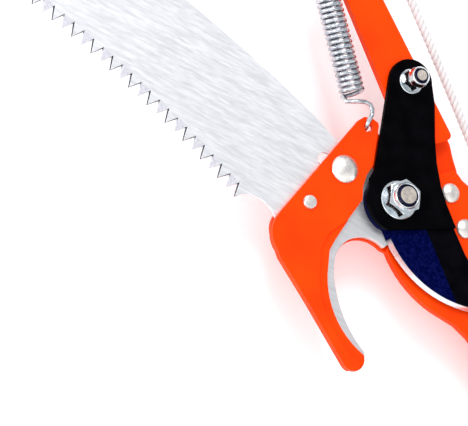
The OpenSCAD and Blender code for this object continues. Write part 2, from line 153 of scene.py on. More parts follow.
grain_group, grain_in, grain_out = new_group(
    "grain",
    [("Fineness", "NodeSocketFloat", 500), ("Stretch", "NodeSocketVector", (1, 1, 1)),
     ("Turn", "NodeSocketFloat", 0), ("Detail", "NodeSocketFloat", 3),
     ("Low", "NodeSocketFloat", 0.35), ("High", "NodeSocketFloat", 0.65),
     ("Light", "NodeSocketColor", (1, 1, 1, 1)), ("Dark", "NodeSocketColor", (0, 0, 0, 1))],
    [("Colour", "NodeSocketColor"), ("Height", "NodeSocketFloat")])
grain_nodes, grain_link = grain_group.nodes, grain_group.links.new
place = grain_nodes.new("ShaderNodeTexCoord")
turn = grain_nodes.new("ShaderNodeVectorRotate")
turn.rotation_type = "Z_AXIS"
stretch = grain_nodes.new("ShaderNodeVectorMath")
stretch.operation = "MULTIPLY"
noise = grain_nodes.new("ShaderNodeTexNoise")
spread = grain_nodes.new("ShaderNodeMapRange")
blend_colours = grain_nodes.new("ShaderNodeMix")
blend_colours.data_type = "RGBA"
grain_link(place.outputs["Object"], turn.inputs["Vector"])
grain_link(grain_in.outputs["Turn"], turn.inputs["Angle"])
grain_link(turn.outputs["Vector"], stretch.inputs[0])
grain_link(grain_in.outputs["Stretch"], stretch.inputs[1])
grain_link(stretch.outputs["Vector"], noise.inputs["Vector"])
grain_link(grain_in.outputs["Fineness"], noise.inputs["Scale"])
grain_link(grain_in.outputs["Detail"], noise.inputs["Detail"])
grain_link(noise.outputs["Fac"], spread.inputs["Value"])
grain_link(grain_in.outputs["Low"], spread.inputs["From Min"])
grain_link(grain_in.outputs["High"], spread.inputs["From Max"])
grain_link(spread.outputs["Result"], blend_colours.inputs["Factor"])
grain_link(grain_in.outputs["Dark"], blend_colours.inputs["A"])
grain_link(grain_in.outputs["Light"], blend_colours.inputs["B"])
grain_link(blend_colours.outputs["Result"], grain_out.inputs["Colour"])
grain_link(spread.outputs["Result"], grain_out.inputs["Height"])


def grain(material, **values):
    """A grain group in a material, with its own values."""
    node = material.node_tree.nodes.new("ShaderNodeGroup")
    node.node_tree = grain_group
    for label, value in values.items():
        node.inputs[label].default_value = value
    return node


def finish(name, light, dark, rough, patches=60, fineness=900, stretch=(1, 1, 1), turn=0.0,
           metal=0.0, specular=0.5, bump=0.1, depth=0.00005):
    """A material: patches of two tones, and a fine grain that drives roughness and relief."""
    material = bpy.data.materials.new(name)
    material.use_nodes = True
    nodes, link = material.node_tree.nodes, material.node_tree.links.new
    shader = nodes["Principled BSDF"]
    shader.inputs["Metallic"].default_value = metal
    shader.inputs["Specular IOR Level"].default_value = specular
    tone = grain(material, Fineness=patches, Stretch=stretch, Turn=turn, Light=(*light, 1),
                 Dark=(*dark, 1))
    fine = grain(material, Fineness=fineness, Stretch=stretch, Turn=turn, Detail=5)
    gloss = nodes.new("ShaderNodeMapRange")
    gloss.inputs["To Min"].default_value = rough[0]
    gloss.inputs["To Max"].default_value = rough[1]
    relief = nodes.new("ShaderNodeBump")
    relief.inputs["Strength"].default_value = bump
    relief.inputs["Distance"].default_value = depth
    link(tone.outputs["Colour"], shader.inputs["Base Color"])
    link(fine.outputs["Height"], gloss.inputs["Value"])
    link(gloss.outputs["Result"], shader.inputs["Roughness"])
    link(fine.outputs["Height"], relief.inputs["Height"])
    link(relief.outputs["Normal"], shader.inputs["Normal"])
    return material


table_size = 9
table_white = finish("table_white", (0.97, 0.955, 0.965), (0.95, 0.935, 0.945), (0.8, 0.9),
                     patches=6, specular=0.1, bump=0.02)
table_glow = table_white.node_tree.nodes["Principled BSDF"].inputs
table_glow["Emission Color"].default_value = (1, 0.98, 0.99, 1)
table_glow["Emission Strength"].default_value = 0.2
bm = bmesh.new()
bmesh.ops.create_grid(bm, x_segments=1, y_segments=1, size=table_size / 2)
bmesh.ops.translate(bm, verts=bm.verts, vec=(pivot.x, pivot.y, table_z))
table_mesh = bpy.data.meshes.new("table")
bm.to_mesh(table_mesh)
bm.free()
table_mesh.materials.append(table_white)
table = bpy.data.objects.new("table", table_mesh)
bpy.context.collection.objects.link(table)

# ---- Pull rope ----
# White three-strand polyester rope, 4 mm thick. It hangs by an eye from a stud behind the head,
# runs out along the arm, round the pulley and back, and is put away in a hank tied with a strap.
rope_d = 4.0
rope_lay = 7.8
ring_gap = 0.75
strand_shape = [2.0, 1.86, 1.4, 1.86]
table_head = (table_z - pivot.z) / MM
pulley_low, pulley_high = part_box("rope_pulley")
pulley = (pulley_low + pulley_high) / 2
pulley_x, pulley_y, pulley_z = (pulley - pivot) / MM
round_r = 12.5
rope_in = [(-14, 27.2, -7.3), (-40, 25.8, -7), (-80, 23.6, -6.2), (-110, 21.9, -5),
           (-138.6, 20.5, -3.5)]
rope_round = [(pulley_x + round_r * math.cos(math.radians(a)),
               pulley_y + round_r * math.sin(math.radians(a)), pulley_z)
              for a in (270 - 22.5 * step for step in range(9))]
rope_out = [(-130, 45.4, -3.3), (-100, 46.3, -3.9), (-74, 47.4, -5), (-48, 48.4, -6.2),
            (-22, 49.2, -7.6), (2, 50, -9.8), (24, 50.6, -13.2), (44, 51, -17),
            (60, 51.1, -19.4), (76, 51.2, -19.5)]
hank_x, hank_y = 120, 69
hank_run = 70
run_start, run_end = hank_x - hank_run / 2, hank_x + hank_run / 2
outer_track, inner_track = 17.9, 13.8
layer_gap = 4.2
# each turn's track and layer, from the table up
turns = [(outer_track, 0), (inner_track, 0), (inner_track, 1), (outer_track, 1),
         (outer_track, 2), (inner_track, 2), (inner_track, 3), (outer_track, 3),
         (outer_track, 4), (inner_track, 4)]
run_steps, bend_steps = 5, 9
rope_leaves = [(140, 55.2, -2.2), (152, 56, 0), (162, 59, 1.4), (171, 63.5, 1.4),
               (179, 67, -2), (187, 68.8, -7), (196, 69, -10.2)]


def hank_points():
    """The rope's turns: a run, a bend, a run back and a bend where the next turn begins."""
    points = []
    for (half, layer), (next_half, next_layer) in zip(turns, turns[1:]):
        z = table_head + rope_d / 2 + layer * layer_gap
        for i in range(run_steps):
            points.append((run_start + hank_run * i / run_steps, hank_y - half, z))
        for i in range(bend_steps):
            a = math.pi * (i / bend_steps - 0.5)
            points.append((run_end + half * math.cos(a), hank_y + half * math.sin(a), z))
        for i in range(run_steps):
            points.append((run_end - hank_run * i / run_steps, hank_y + half, z))
        for i in range(bend_steps):
            share = i / bend_steps
            a = math.pi * (share + 0.5)
            r = half + (next_half - half) * share
            points.append((run_start + r * math.cos(a), hank_y + r * math.sin(a),
                           z + (next_layer - layer) * layer_gap * share))
    points.append((run_start, hank_y - turns[-1][0],
                   table_head + rope_d / 2 + turns[-1][1] * layer_gap))
    return points


def smooth(points):
    """A smooth line through the points, with steps of one ring gap."""
    line = []
    for i in range(len(points) - 1):
        a, b = points[max(i - 1, 0)], points[i]
        c, d = points[i + 1], points[min(i + 2, len(points) - 1)]
        steps = max(1, round((c - b).length / (ring_gap * MM)))
        for k in range(steps):
            t = k / steps
            line.append(0.5 * (2 * b + (c - a) * t + (2 * a - 5 * b + 4 * c - d) * t * t
                               + (3 * b - a - 3 * c + d) * t ** 3))
    return line + [points[-1]]


def laid_rope(name, line):
    """Three strands laid round each other along a line: one skin of turning, lobed rings."""
    shape = strand_shape * 3
    sides = len(shape)
    verts, faces, lengths = [], [], []
    run = 0.0
    side = Vector((0, 0, 1)).cross(line[1] - line[0]).normalized()
    for i, point in enumerate(line):
        along = (line[min(i + 1, len(line) - 1)] - line[max(i - 1, 0)]).normalized()
        side = (side - along * side.dot(along)).normalized()
        over = along.cross(side)
        if i:
            run += (point - line[i - 1]).length
        twist = 2 * math.pi * run / (rope_lay * MM)
        for k, r in enumerate(shape):
            a = 2 * math.pi * k / sides + twist
            verts.append(point + (side * math.cos(a) + over * math.sin(a)) * r * MM)
        lengths.append(run)
    for i in range(len(line) - 1):
        for k in range(sides):
            q = (k + 1) % sides
            faces.append((i * sides + k, i * sides + q, (i + 1) * sides + q, (i + 1) * sides + k))
    faces.append(tuple(range(sides - 1, -1, -1)))
    faces.append(tuple((len(line) - 1) * sides + k for k in range(sides)))
    mesh = bpy.data.meshes.new(name)
    mesh.from_pydata(verts, [], faces)
    lay_map = mesh.uv_layers.new(name="lay")
    for face in mesh.polygons:
        face.use_smooth = True
        if len(face.vertices) > 4:
            continue
        for corner, loop in enumerate(face.loop_indices):
            ring, k = divmod(mesh.loops[loop].vertex_index, sides)
            if k == 0 and corner in (1, 2):
                k = sides
            lay_map.data[loop].uv = (k / sides, lengths[ring] / MM / 10)
    rope = bpy.data.objects.new(name, mesh)
    bpy.context.collection.objects.link(rope)
    return rope


def rope_finish():
    """Fine fibres along the strands, with painted shade in the grooves where they meet."""
    material = finish("rope_white", (0.97, 0.95, 0.94), (0.9, 0.87, 0.87), (0.75, 0.9),
                      patches=140, specular=0.25)
    nodes, link = material.node_tree.nodes, material.node_tree.links.new
    uv = nodes.new("ShaderNodeUVMap")
    uv.uv_map = "lay"
    split = nodes.new("ShaderNodeSeparateXYZ")
    strand = nodes.new("ShaderNodeMath")
    strand.operation = "MULTIPLY"
    strand.inputs[1].default_value = 3 * 2 * math.pi
    lobe = nodes.new("ShaderNodeMath")
    lobe.operation = "COSINE"
    # painted shade: the base colour is mixed towards a darker pinkish grey in the strands'
    # grooves
    groove_shade = nodes.new("ShaderNodeMapRange")
    groove_shade.inputs["From Min"].default_value = -1.0
    groove_shade.inputs["From Max"].default_value = -0.1
    shade = nodes.new("ShaderNodeMix")
    shade.data_type = "RGBA"
    shade.inputs["A"].default_value = (0.72, 0.66, 0.67, 1)
    fibre_size = nodes.new("ShaderNodeMapping")
    fibre_size.inputs["Scale"].default_value = (46, 9, 1)
    fibre_size.inputs["Rotation"].default_value = (0, 0, 0.5)
    fibres = nodes.new("ShaderNodeTexNoise")
    fibres.inputs["Scale"].default_value = 1.0
    relief = nodes.new("ShaderNodeBump")
    relief.inputs["Strength"].default_value = 0.5
    relief.inputs["Distance"].default_value = 0.0002
    shader = nodes["Principled BSDF"]
    shader.inputs["Sheen Weight"].default_value = 0.3
    tone = shader.inputs["Base Color"].links[0].from_socket
    link(uv.outputs["UV"], split.inputs["Vector"])
    link(split.outputs["X"], strand.inputs[0])
    link(strand.outputs["Value"], lobe.inputs[0])
    link(lobe.outputs["Value"], groove_shade.inputs["Value"])
    link(groove_shade.outputs["Result"], shade.inputs["Factor"])
    link(tone, shade.inputs["B"])
    link(shade.outputs["Result"], shader.inputs["Base Color"])
    link(uv.outputs["UV"], fibre_size.inputs["Vector"])
    link(fibre_size.outputs["Vector"], fibres.inputs["Vector"])
    link(fibres.outputs["Fac"], relief.inputs["Height"])
    link(relief.outputs["Normal"], shader.inputs["Normal"])
    return material


rope_white = rope_finish()
route = [on_head(*p) for p in rope_in + rope_round + rope_out + hank_points() + rope_leaves]
rope = laid_rope("pull_rope_laid", smooth(route))
rope.data.materials.append(rope_white)
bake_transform(rope)
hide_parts("rope_standing_part", "rope_bight", "pull_rope", "rope_hank", "rope_tail")

# the stitched eye that the rope is hung by
eye_low, eye_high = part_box("rope_eye")
eye_centre = (eye_low + eye_high) / 2
eye_r = (eye_high.x - eye_low.x) / 2 - rope_d / 2 * MM
eye_steps = 40
eye_line = [eye_centre + Vector((math.cos(a), math.sin(a), 0)) * eye_r
            for a in (2 * math.pi * i / eye_steps for i in range(eye_steps + 1))]
rope_eye = laid_rope("rope_eye_laid", eye_line)
rope_eye.data.materials.append(rope_white)
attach(rope_eye, "head")
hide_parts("rope_eye")


seam_gap, cad_seam_gap = 0.0000005, 0.000002
flat_angle, bend_angle, crease_angle = math.radians(0.8), math.radians(28), math.radians(32)


def from_cad(node):
    """A copy of a CAD node's mesh with its points merged and its flat faces whole."""
    bm = bmesh.new()
    bm.from_mesh(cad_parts[node].data)
    bmesh.ops.remove_doubles(bm, verts=bm.verts, dist=cad_seam_gap)
    bmesh.ops.dissolve_limit(bm, angle_limit=flat_angle, verts=bm.verts, edges=bm.edges)
    return bm


def piece(name, bm, body, slot, material, *stands_for, rounding=0.0, rounds=2):
    """Makes the finished piece: its edges rounded by so many millimetres, in so many steps."""
    mesh = bpy.data.meshes.new(name)
    bm.to_mesh(mesh)
    bm.free()
    mesh.materials.append(material)
    made = bpy.data.objects.new(name, mesh)
    bpy.context.collection.objects.link(made)
    for face in mesh.polygons:
        face.use_smooth = True
    if rounding:
        edges = made.modifiers.new("rounding", "BEVEL")
        edges.width = rounding * MM
        edges.segments = rounds
        edges.limit_method = "ANGLE"
        edges.angle_limit = bend_angle
        edges.miter_outer = "MITER_ARC"
    else:
        mesh.set_sharp_from_angle(angle=crease_angle)
    shading = made.modifiers.new("shading", "WEIGHTED_NORMAL")
    shading.keep_sharp = True
    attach(made, body)
    if stands_for:
        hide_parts(*stands_for)
    return made


# The strap and the pull handle: a black webbing strap round the hank, and a moulded handle
# with a waist on the rope's end.
strap_black = finish("strap_black", (0.03, 0.03, 0.033), (0.012, 0.012, 0.014), (0.6, 0.8),
                     patches=300, fineness=1400, stretch=(1, 3, 1), bump=0.4, depth=0.0002)
strap = piece("hank_strap", from_cad("hank_tie"), "head", "black_plastic", strap_black,
              "hank_tie", rounding=0.45, rounds=3)


def cap_arc(r, z0, z1, steps=8):
    """Radius and height along a round head, from its rim up to its top."""
    rise = z1 - z0
    ball = (r * r + rise * rise) / (2 * rise)
    reach = math.asin(min(1.0, r / ball))
    return [(ball * math.sin(reach * (1 - i / steps)),
             z1 - ball + ball * math.cos(reach * (1 - i / steps))) for i in range(steps + 1)]


def turned(base, profile, axis="Z", closed=False, steps=56):
    """A turned body: a profile of radius and height in millimetres, spun about an axis."""
    along, out = (Vector((0, 0, 1)), Vector((1, 0, 0)))
    if axis == "X":
        along, out = (Vector((1, 0, 0)), Vector((0, 0, 1)))
    if axis == "Y":
        along, out = (Vector((0, 1, 0)), Vector((1, 0, 0)))
    bm = bmesh.new()
    rim = [bm.verts.new(base + (out * r + along * z) * MM) for r, z in profile]
    pairs = list(zip(rim, rim[1:])) + ([(rim[-1], rim[0])] if closed else [])
    edges = [bm.edges.new(pair) for pair in pairs]
    bmesh.ops.spin(bm, geom=rim + edges, cent=base, axis=along, angle=2 * math.pi, steps=steps,
                   use_merge=True)
    bmesh.ops.remove_doubles(bm, verts=bm.verts, dist=seam_gap)
    bmesh.ops.recalc_face_normals(bm, faces=bm.faces)
    return bm


orange_plastic = finish("orange_plastic", (1.0, 0.085, 0.004), (0.9, 0.06, 0.002), (0.3, 0.42),
                        patches=120, fineness=2500, specular=0.4, bump=0.15)
handle_low, handle_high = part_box("rope_handle")
handle_base = Vector((handle_low.x, (handle_low.y + handle_high.y) / 2,
                      (handle_low.z + handle_high.z) / 2))
handle_len = (handle_high.x - handle_low.x) / MM
handle_r = (handle_high.y - handle_low.y) / 2 / MM
neck_r, neck_end, dome_start = 5.6, 36, handle_len - handle_r
handle_profile = [(0, 3), (2.2, 2.5), (2.6, 0.6), (3.6, 0.1), (4.8, 0.2), (neck_r, 1.2)]
swell_steps, dome_steps = 12, 10
for i in range(swell_steps + 1):
    share = i / swell_steps
    swell = share * share * (3 - 2 * share)
    handle_profile.append((neck_r + (handle_r - neck_r) * swell, 2 + (neck_end - 2) * share))
for i in range(dome_steps + 1):
    a = math.pi / 2 * i / dome_steps
    handle_profile.append((handle_r * math.cos(a), dome_start + handle_r * math.sin(a)))
handle = piece("pull_handle", turned(handle_base, handle_profile, "X"), "head",
               "orange_plastic", orange_plastic, "rope_handle")

# ---- Back plate and cheek plate ----
# Two laser-cut steel plates carry the head. They are powder-coated orange before assembly,
# and riveted together where they run into the socket.
orange_light = (1.0, 0.062, 0.0)
orange_deep = (0.95, 0.045, 0.0)
orange_enamel = finish("orange_enamel", orange_light, orange_deep, (0.28, 0.42), patches=45,
                       fineness=700, specular=0.09, bump=0.12, depth=0.00006)
piece("back_plate_coated", from_cad("back_plate"), "head", "orange_enamel", orange_enamel,
      "back_plate", rounding=0.45, rounds=3)
piece("cheek_plate_coated", from_cad("cheek_plate"), "head", "orange_enamel", orange_enamel,
      "cheek_plate", rounding=0.4, rounds=3)

# ---- Counter-blade ----
# The fixed half of the cutter, ground from plain steel plate and held between the back plate
# and the saw. The branch lies in its round throat.
brush_turn = math.radians(-44)
plain_steel = finish("plain_steel", (0.79, 0.79, 0.80), (0.69, 0.695, 0.71), (0.34, 0.46),
                     patches=800, fineness=2000, stretch=(0.1, 1, 1), turn=brush_turn,
                     metal=0.9, bump=0.15)
piece("counter_blade_ground", from_cad("counter_blade"), "head", "plain_steel", plain_steel,
      "counter_blade", rounding=0.25)

# ---- Saw ----
# A curved pruning saw blanked from 1.4 mm spring steel. Every second tooth is ground to a
# slope from above; the teeth between keep their square flanks, painted near-black as shade.
saw_low, saw_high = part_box("saw_blade")
saw_arc = on_head(180.2, -592.1)
saw_r = 565
tooth_pitch, tooth_depth = 5.05, 4.9
last_tooth = math.radians(111.3)
tip_grind, gullet_grind = 0.9, 0.8
near = 0.4


def ground_teeth(bm):
    """Slopes the odd teeth down to their tips, and gives the even teeth's flanks a painted shade.
    """
    bm.normal_update()
    middle = (saw_low.z + saw_high.z) / 2
    gullets, sloped = {}, []
    for vert in bm.verts:
        spoke = Vector((vert.co.x - saw_arc.x, vert.co.y - saw_arc.y, 0))
        radius = spoke.length / MM
        place = (math.atan2(spoke.y, spoke.x) - last_tooth) * saw_r / tooth_pitch
        tooth = round(place)
        above = vert.co.z > middle
        if abs(radius - saw_r) < near and abs(place - tooth) < 0.1:
            if tooth % 2 == 0:
                # the even teeth's flanks get the near-black material, a painted shade
                for face in vert.link_faces:
                    if abs(face.normal.z) < 0.3:
                        face.material_index = 1
            elif above:
                vert.co.z -= tip_grind * MM
                sloped.append(vert)
        elif above and abs(radius - saw_r - tooth_depth) < near and abs(place - tooth) > 0.4:
            gullets[math.floor(place)] = vert
            vert.co += spoke.normalized() * gullet_grind * MM
    for number, vert in gullets.items():
        if number + 1 in gullets and number % 2 == 0:
            bmesh.ops.connect_vert_pair(bm, verts=[vert, gullets[number + 1]])
    bm.normal_update()
    for vert in sloped:
        for face in vert.link_faces:
            if face.normal.z > 0.3:
                face.material_index = 2


saw_steel = finish("saw_steel", (0.93, 0.935, 0.95), (0.78, 0.79, 0.81), (0.36, 0.5),
                   patches=900, fineness=2400, stretch=(0.1, 1, 1), turn=brush_turn,
                   metal=0.9, bump=0.2)
# near-black flanks of the even teeth: painted shade, not a colour of the steel
tooth_flank_shade = finish("tooth_flank_shade", (0.02, 0.03, 0.05), (0.008, 0.012, 0.022), (0.4, 0.5),
                    patches=900, specular=0.1)
tooth_grey = finish("tooth_grey", (0.80, 0.79, 0.84), (0.64, 0.63, 0.69), (0.4, 0.5),
                    patches=1200, metal=0.7, specular=0.2)
bm = from_cad("saw_blade")
ground_teeth(bm)
saw = piece("saw_blade_ground", bm, "head", "plain_steel", saw_steel, "saw_blade",
            rounding=0.07, rounds=1)
saw.data.materials.append(tooth_flank_shade)
saw.data.materials.append(tooth_grey)

# ---- Hook cover ----
# A pressed steel cover over the hook and the saw's root. Its outer edge is turned down and
# rolled, a strip along its inner edge is pressed lower, and its corner is the spring's ear.
cover_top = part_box("hook_cover")[1].z
rolled_from = on_head(0, -45.1).y
roll_r = 1.9
bm = from_cad("hook_cover")
rolled = [edge for edge in bm.edges
          if all(abs(v.co.z - cover_top) < 0.00002 and v.co.y < rolled_from for v in edge.verts)
          and len(edge.link_faces) == 2
          and min(face.normal.z for face in edge.link_faces) < 0.5]
bmesh.ops.bevel(bm, geom=rolled, affect="EDGES", offset=roll_r * MM, segments=6, profile=0.5,
                material=-1, clamp_overlap=True)
piece("hook_cover_pressed", bm, "head", "orange_enamel", orange_enamel, "hook_cover",
      rounding=0.5, rounds=3)

# ---- Rivets, saw bolt and pin ----
# Plain steel rivets hold the plates. The saw hangs on a round-headed bolt with a washer and a
# wing nut behind, and a headed pin keeps it from turning.
rivet_steel = finish("rivet_steel", (0.93, 0.89, 0.84), (0.72, 0.69, 0.66), (0.25, 0.42),
                     patches=520, fineness=1800, metal=0.92, bump=0.25)
rivets_low, rivets_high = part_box("frame_rivets")
rivet_r = (rivets_high.y - rivets_low.y) / 2 / MM
rivet_height = (rivets_high.z - rivets_low.z) / MM
rivets = bmesh.new()
for x in (rivets_low.x + rivet_r * MM, rivets_high.x - rivet_r * MM):
    base = Vector((x, (rivets_low.y + rivets_high.y) / 2, rivets_low.z))
    one = turned(base, [(0, 0), (rivet_r - 0.3, 0), (rivet_r, 0.3), (rivet_r, 0.9), (2, 1.0),
                        (2, rivet_height - 2.09), (rivet_r, rivet_height - 2.08),
                        (rivet_r, rivet_height - 1.7)]
                 + cap_arc(rivet_r - 0.1, rivet_height - 1.5, rivet_height))
    mesh = bpy.data.meshes.new("rivet")
    one.to_mesh(mesh)
    one.free()
    rivets.from_mesh(mesh)
piece("frame_rivets_set", rivets, "head", "rivet_steel", rivet_steel, "frame_rivets")


def centre_base(node):
    """The middle of a node's lowest plane, and its height in millimetres."""
    low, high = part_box(node)
    return Vector(((low.x + high.x) / 2, (low.y + high.y) / 2, low.z)), (high.z - low.z) / MM


def thread(r, z0, z1, pitch):
    """Radius and height down a screw thread, as rings one pitch apart."""
    count = int((z1 - z0) / pitch)
    points = []
    for i in range(count):
        z = z0 + (z1 - z0) * i / count
        points += [(r, z + pitch * 0.1), (r - pitch * 0.5, z + pitch * 0.6)]
    return points + [(r, z1)]


zinc = finish("zinc", (0.84, 0.88, 0.90), (0.5, 0.56, 0.60), (0.12, 0.24), patches=350,
              fineness=1600, metal=1.0, bump=0.12)
base, tall = centre_base("saw_bolt")
piece("saw_bolt_turned",
      turned(base, [(0, 0), (2.5, 0), (3, 0.5)] + thread(2.98, 0.6, 10, 0.8)
             + [(3, tall - 3.01), (5.5, tall - 3.0), (5.75, tall - 2.8), (5.75, tall - 2.4)]
             + cap_arc(5.6, tall - 2.2, tall, 12)),
      "head", "rivet_steel", rivet_steel, "saw_bolt")
base, tall = centre_base("saw_pin")
piece("saw_pin_turned",
      turned(base, [(0, 0), (2.6, 0), (2.9, 0.3), (2.9, 1.3), (2, 1.4), (2, tall - 1.4),
                    (2.9, tall - 1.39), (2.9, tall - 0.7), (2.6, tall - 0.25), (2.0, tall),
                    (0, tall - 0.12)]),
      "head", "rivet_steel", rivet_steel, "saw_pin")


def washer(node, body, r_out, r_in, edge=0.25):
    """A flat washer with its four edges broken."""
    base, tall = centre_base(node)
    piece(node + "_turned",
          turned(base, [(r_in, edge), (r_in + edge, 0), (r_out - edge, 0), (r_out, edge),
                        (r_out, tall - edge), (r_out - edge, tall), (r_in + edge, tall),
                        (r_in, tall - edge)], closed=True),
          body, "zinc", zinc, node)


washer("saw_washer", "head", 7, 3.05)
piece("wing_nut_cast", from_cad("wing_nut"), "wing_nut", "zinc", zinc, "wing_nut", rounding=0.5,
      rounds=3)

# ---- Pivot ----
# An M8 bolt, a hard bush that the cutter turns on, a washer, and a zinc-plated lock nut whose
# collar grips the thread.


corner_cuts = 24
corner_inset, corner_drop = 0.1, 0.012


def hex_body(base, flats, tall):
    """A hexagon with its corners turned off at the top, and its bottom left whole."""
    bm = bmesh.new()
    middle = base + Vector((0, 0, tall / 2 * MM))
    corner_r = flats / math.sqrt(3) * MM
    bmesh.ops.create_cone(bm, cap_ends=True, segments=6, radius1=corner_r, radius2=corner_r,
                          depth=tall * MM, matrix=Matrix.Translation(middle))
    for i in range(corner_cuts):
        a = 2 * math.pi * i / corner_cuts
        out = Vector((math.cos(a), math.sin(a), 0))
        edge = base + (out * (flats / 2 - corner_inset) + Vector((0, 0, tall - corner_drop))) * MM
        bmesh.ops.bisect_plane(bm, geom=bm.verts[:] + bm.edges[:] + bm.faces[:], dist=1e-8,
                               plane_co=edge, plane_no=out * 0.5 + Vector((0, 0, 0.87)),
                               clear_outer=True)
        bmesh.ops.holes_fill(bm, edges=bm.edges, sides=0)
    return bm


def joined(*parts):
    """Several bmeshes as one."""
    whole = bmesh.new()
    for part in parts:
        mesh = bpy.data.meshes.new("part")
        part.to_mesh(mesh)
        part.free()
        whole.from_mesh(mesh)
        bpy.data.meshes.remove(mesh)
    return whole


def bolt(node, body, r, flats, head_tall, pitch, threads):
    """A hexagon-headed bolt, head down, with a thread on its upper end."""
    base, tall = centre_base(node)
    shank = turned(base, [(0, head_tall - 0.5), (r, head_tall - 0.5), (r, tall - threads)]
                   + thread(r, tall - threads + 0.2, tall - 1.2, pitch)
                   + [(r * 0.97, tall - 0.8), (r * 0.88, tall - 0.05), (0, tall)])
    # the thread's top turns and chamfer get the dark nylon material as painted shade round the
    # bolt's end
    for face in shank.faces:
        if face.calc_center_median().z > base.z + (tall - 1.4) * MM and face.normal.z < 0.9:
            face.material_index = 1
    head = hex_body(base, flats, head_tall)
    made = piece(node + "_made", joined(head, shank), body, "zinc", bolt_zinc, node)
    made.data.materials.append(nylon_and_thread_shade)


def lock_nut(node, body, flats, r_in, hex_tall, collar_r):
    """A lock nut: a hexagon, a rounded collar and the nylon ring that it is rolled over."""
    base, tall = centre_base(node)
    collar = turned(base, [(r_in, hex_tall - 0.3), (collar_r + 0.35, hex_tall - 0.3),
                           (collar_r + 0.1, hex_tall + 0.2), (collar_r, tall - 0.8),
                           (collar_r - 0.25, tall - 0.25), (collar_r - 0.6, tall),
                           (r_in + 0.65, tall - 0.15), (r_in + 0.5, tall - 0.5),
                           (r_in, tall - 0.8)], closed=True)
    for face in collar.faces:
        away = face.calc_center_median() - base
        if away.xy.length < (r_in + 0.6) * MM:
            face.material_index = 1
    made = piece(node + "_made", joined(hex_body(base, flats, hex_tall), collar), body,
                 "zinc", zinc, node)
    made.data.materials.append(nylon_and_thread_shade)


bolt_zinc = finish("bolt_zinc", (0.80, 0.70, 0.60), (0.55, 0.5, 0.45), (0.25, 0.42),
                   patches=600, fineness=2000, metal=0.85, bump=0.3)
nylon_and_thread_shade = finish("nylon_and_thread_shade", (0.012, 0.016, 0.06), (0.004, 0.005, 0.02), (0.4, 0.55),
                    patches=700, specular=0.2)
bolt("pivot_bolt", "head", 4, 13, 5.3, 1.25, 11)
washer("pivot_washer", "head", 8, 4.2)
lock_nut("pivot_nut", "head", 13, 4.02, 5.6, 5.5)
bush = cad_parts["pivot_bush"].data.materials
bush.clear()
bush.append(zinc)

# ---- Cutter blade ----
# The moving blade, hardened and coated black. Its ground face carries a painted blue sheen,
# and the last millimetre before the edge is bare bright steel.
edge_arc = on_head(12, 37.3)
edge_r = 46.9
grind_top = 8.0


def coated_blade():
    """Black coat, with a painted blue sheen on the ground face, and the edge bare."""
    material = finish("blade_black", (0.0025, 0.0025, 0.004), (0.001, 0.001, 0.002),
                      (0.16, 0.26), patches=160, fineness=900, specular=0.01, bump=0.05)
    nodes, link = material.node_tree.nodes, material.node_tree.links.new
    shader = nodes["Principled BSDF"]
    place = nodes.new("ShaderNodeTexCoord")
    split = nodes.new("ShaderNodeSeparateXYZ")
    # below grind_top the base colour is a painted blue sheen instead of black
    ground = nodes.new("ShaderNodeMapRange")
    ground.inputs["From Min"].default_value = on_head(0, grind_top).y
    ground.inputs["From Max"].default_value = on_head(0, grind_top + 0.6).y
    blue_sheen = grain(material, Fineness=900, Light=(0.004, 0.007, 0.08, 1),
                 Dark=(0.0, 0.001, 0.03, 1), Low=0.42, High=0.8, Detail=6)
    zones = nodes.new("ShaderNodeMix")
    zones.data_type = "RGBA"
    from_arc = nodes.new("ShaderNodeVectorMath")
    from_arc.operation = "DISTANCE"
    from_arc.inputs[1].default_value = (edge_arc.x, edge_arc.y, 0)
    flat = nodes.new("ShaderNodeCombineXYZ")
    bare = nodes.new("ShaderNodeMapRange")
    bare.inputs["From Min"].default_value = (edge_r - 1.25) * MM
    bare.inputs["From Max"].default_value = (edge_r - 1.05) * MM
    past_boss = nodes.new("ShaderNodeMapRange")
    past_boss.inputs["From Min"].default_value = on_head(13, 0).x
    past_boss.inputs["From Max"].default_value = on_head(15.5, 0).x
    bare_edge = nodes.new("ShaderNodeMath")
    bare_edge.operation = "MULTIPLY"
    edge_mix = nodes.new("ShaderNodeMix")
    edge_mix.data_type = "RGBA"
    edge_mix.inputs["B"].default_value = (0.8, 0.82, 0.84, 1)
    black = shader.inputs["Base Color"].links[0].from_socket
    link(place.outputs["Object"], split.inputs["Vector"])
    link(split.outputs["Y"], ground.inputs["Value"])
    link(ground.outputs["Result"], zones.inputs["Factor"])
    link(blue_sheen.outputs["Colour"], zones.inputs["A"])
    link(black, zones.inputs["B"])
    link(split.outputs["X"], flat.inputs["X"])
    link(split.outputs["Y"], flat.inputs["Y"])
    link(flat.outputs["Vector"], from_arc.inputs[0])
    link(from_arc.outputs["Value"], bare.inputs["Value"])
    link(zones.outputs["Result"], edge_mix.inputs["A"])
    link(split.outputs["X"], past_boss.inputs["Value"])
    link(bare.outputs["Result"], bare_edge.inputs[0])
    link(past_boss.outputs["Result"], bare_edge.inputs[1])
    link(bare_edge.outputs["Value"], edge_mix.inputs["Factor"])
    link(edge_mix.outputs["Result"], shader.inputs["Base Color"])
    link(bare_edge.outputs["Value"], shader.inputs["Metallic"])
    return material


blade_black = coated_blade()
ledge = on_head(0, 0, 0.4).z
ledge_in, ledge_reach = 1.1, 1.0
bm = from_cad("cutter_blade")
for vert in bm.verts:
    spoke = Vector((vert.co.x - edge_arc.x, vert.co.y - edge_arc.y, 0))
    if abs(vert.co.z - ledge) < 0.00006 and abs(spoke.length / MM - edge_r + ledge_in) < 0.1:
        vert.co += spoke.normalized() * ledge_reach * MM
piece("cutter_blade_ground", bm, "cutter", "black_coat", blade_black, "cutter_blade",
      rounding=0.12)

